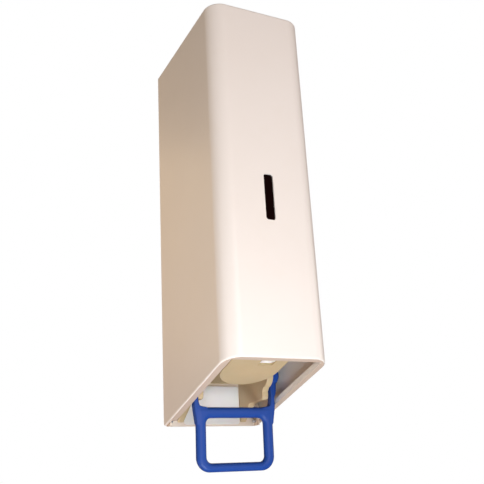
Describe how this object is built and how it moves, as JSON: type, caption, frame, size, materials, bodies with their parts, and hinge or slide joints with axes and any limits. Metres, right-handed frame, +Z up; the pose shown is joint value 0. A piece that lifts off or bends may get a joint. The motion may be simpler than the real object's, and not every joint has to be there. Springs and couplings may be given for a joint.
{
  "type": "wall soap dispenser",
  "caption": "Tall wall-mounted soap dispenser case with a slanted open base, a narrow sight slot, a hanging ring lever, a pump and an upturned bottle inside.",
  "frame": {"origin": "middle of the flat face that lies against the wall, 165 mm above the back plate's bottom edge", "axes": "+Y points into the wall, -Y to the user, +Z up, +X to the right as the user faces the wall"},
  "size_m": [0.086, 0.128, 0.3709],
  "materials": {
    "cover_paint": "satin",
    "plate_paint": "satin",
    "beige_plastic": "fine matt",
    "white_plastic": "smooth",
    "blue_plastic": "smooth",
    "smoked_plastic": "smoked",
    "bottle_plastic": "translucent",
    "rubber": "matt",
    "steel": "plated"
  },
  "bodies": {
    "base": {"back_plate": "plate_paint", "blank_panel": "white_plastic", "chassis": "beige_plastic", "outlet_tray": "beige_plastic", "bottle": "bottle_plastic", "bottle_cap": "white_plastic", "neck_gasket": "rubber", "pump_body": "white_plastic", "inlet_ball": "steel", "return_spring": "steel", "outlet_valve": "rubber", "spout": "white_plastic", "chassis_screw_lower_left": "steel", "chassis_screw_lower_right": "steel", "chassis_screw_upper_left": "steel", "chassis_screw_upper_right": "steel", "tray_screw_left": "steel", "tray_screw_right": "steel", "pivot_pin_left": "steel", "pivot_pin_right": "steel", "pivot_clip_left": "steel", "pivot_clip_right": "steel"},
    "lever": {"lever": "blue_plastic"},
    "plunger": {"plunger": "white_plastic", "piston_seal": "rubber"},
    "cover": {"cover": "cover_paint", "sight_lens": "smoked_plastic", "hinge_pin_left": "steel", "hinge_pin_right": "steel", "lock_housing": "steel", "lock_nut": "steel"},
    "lock": {"lock_plug": "steel", "lock_cam": "steel", "cam_screw": "steel"}
  },
  "joints": [
    {"name": "lever_swing", "type": "hinge", "parent": "base", "child": "lever", "pos_m": [0, -0.0474, -0.129], "axis": [1, 0, 0], "range_deg": [0, 20], "stiffness_Nm_per_rad": 1.2, "springref_deg": -5.73},
    {"name": "plunger_slide", "type": "slide", "parent": "base", "child": "plunger", "axis": [0, -1, 0], "range_m": [0, 0.0084], "deforming": ["return_spring"]},
    {"name": "cover_open", "type": "hinge", "parent": "base", "child": "cover", "pos_m": [0, -0.005, -0.1605], "axis": [1, 0, 0], "range_deg": [0, 95]},
    {"name": "lock_turn", "type": "hinge", "parent": "cover", "child": "lock", "pos_m": [0, -0.014, 0.165], "axis": [0, 0, 1], "range_deg": [0, 90]}
  ],
  "couplings": [
    {"joint": "plunger_slide", "follows": "lever_swing", "m_per_rad": 0.024}
  ]
}
